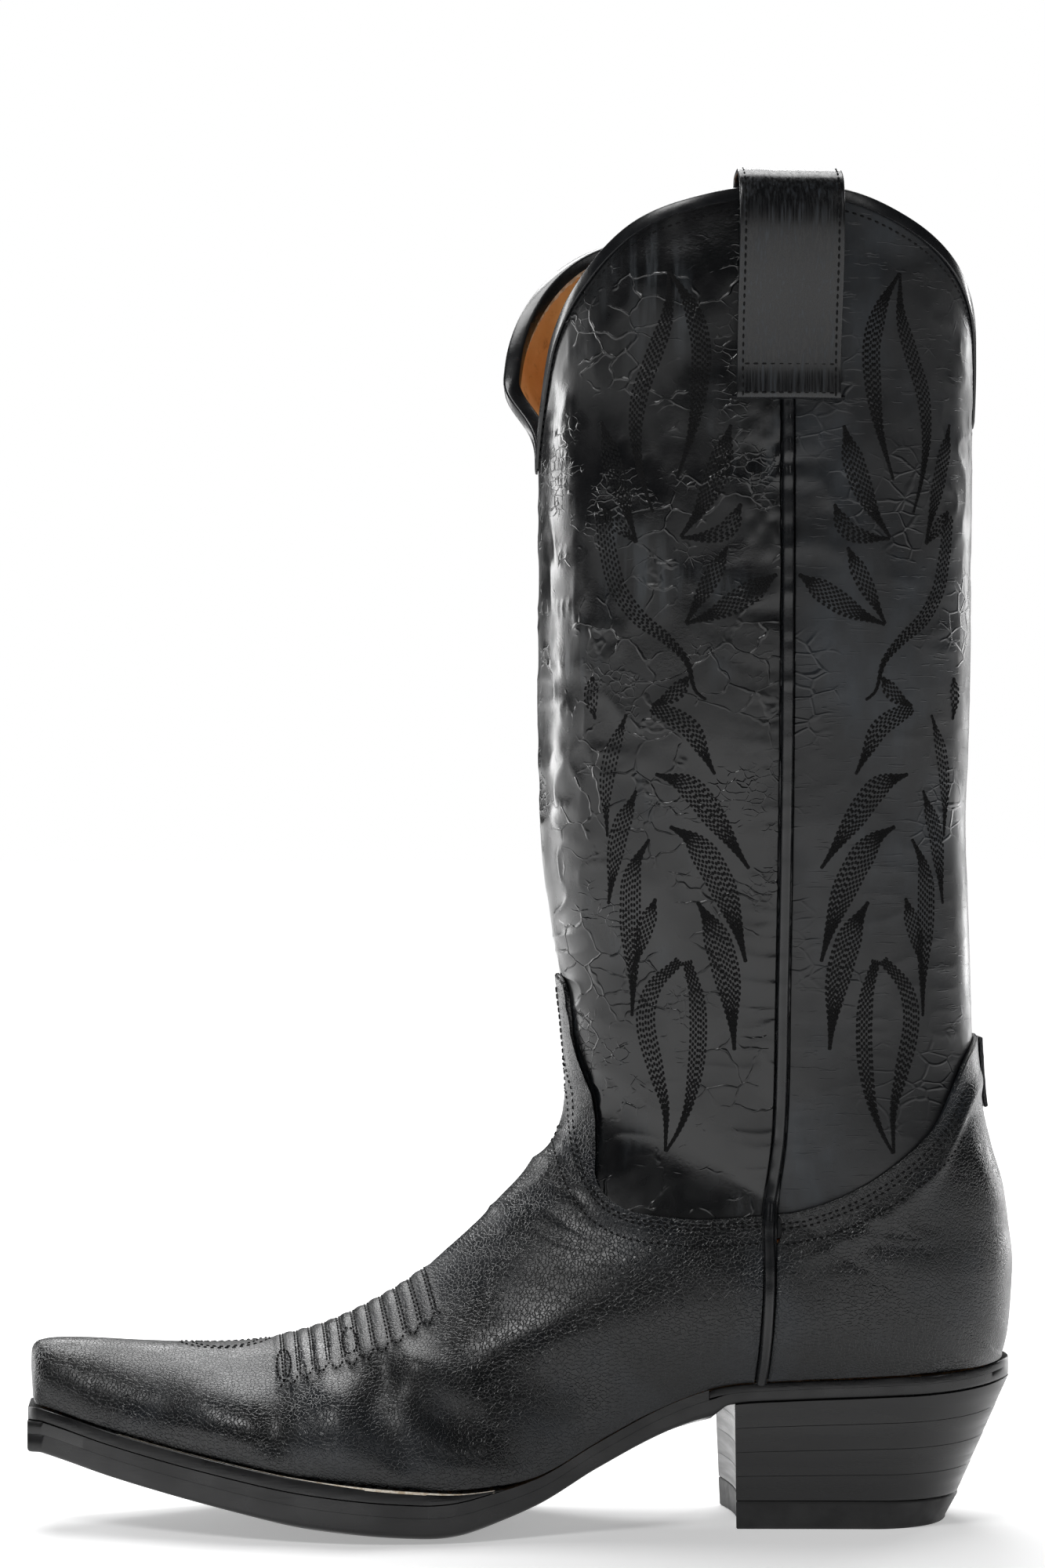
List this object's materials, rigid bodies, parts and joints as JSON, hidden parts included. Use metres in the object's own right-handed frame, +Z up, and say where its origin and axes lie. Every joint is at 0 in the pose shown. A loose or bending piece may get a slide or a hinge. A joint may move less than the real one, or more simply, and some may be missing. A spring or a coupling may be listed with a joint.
{
  "type": "cowboy boot",
  "caption": "Pull-on western boot, left foot: tall flame-stitched shaft, plain vamp and counter, snip toe, stacked underslung heel, pull straps and tan lining.",
  "frame": {"origin": "centre of the footprint box, on the floor", "axes": "+Z up, the toe points to -X, the outer side of the foot is at -Y"},
  "size_m": [0.2904, 0.1328, 0.392],
  "materials": {
    "glazed_leather": "glazed black, fine crackle",
    "charcoal_leather": "smooth waxed charcoal",
    "soft_leather": "soft pebbled black",
    "lining_leather": "natural tan, matt",
    "stiffener": "raw fibre board",
    "sole_leather": "black edge dressing, semi-gloss",
    "stacked_heel": "painted black, semi-gloss",
    "heel_rubber": "matt black",
    "cork": "raw cork",
    "steel": "bright",
    "peg_wood": "stained"
  },
  "bodies": {
    "root": {"shaft_front_panel": "glazed_leather", "shaft_back_panel": "charcoal_leather", "shaft_front_lining": "lining_leather", "shaft_back_lining": "lining_leather", "top_binding_front": "glazed_leather", "top_binding_back": "glazed_leather", "side_welt_outer": "glazed_leather", "side_welt_inner": "glazed_leather", "pull_strap_outer": "glazed_leather", "pull_strap_inner": "glazed_leather", "vamp": "soft_leather", "vamp_lining": "lining_leather", "toe_box": "stiffener", "counter_cover": "soft_leather", "counter_stiffener": "stiffener", "counter_lining": "lining_leather", "back_tab": "soft_leather", "insole": "stiffener", "sock_liner": "lining_leather", "midsole": "sole_leather", "outsole": "sole_leather", "welt": "sole_leather", "heel_rand": "sole_leather", "cork_filler": "cork", "seat_filler": "cork", "shank": "steel", "heel_cap": "heel_rubber", "heel_lift_1": "stacked_heel", "heel_lift_2": "stacked_heel", "heel_lift_3": "stacked_heel", "heel_lift_4": "stacked_heel", "heel_nail_1": "steel", "heel_nail_2": "steel", "heel_nail_3": "steel", "heel_nail_4": "steel", "heel_nail_5": "steel", "cap_nail_1": "steel", "cap_nail_2": "steel", "cap_nail_3": "steel", "cap_nail_4": "steel", "sole_peg_outer_1": "peg_wood", "sole_peg_outer_2": "peg_wood", "sole_peg_outer_3": "peg_wood", "sole_peg_outer_4": "peg_wood", "sole_peg_inner_1": "peg_wood", "sole_peg_inner_2": "peg_wood", "sole_peg_inner_3": "peg_wood", "sole_peg_inner_4": "peg_wood"}
  },
  "joints": []
}
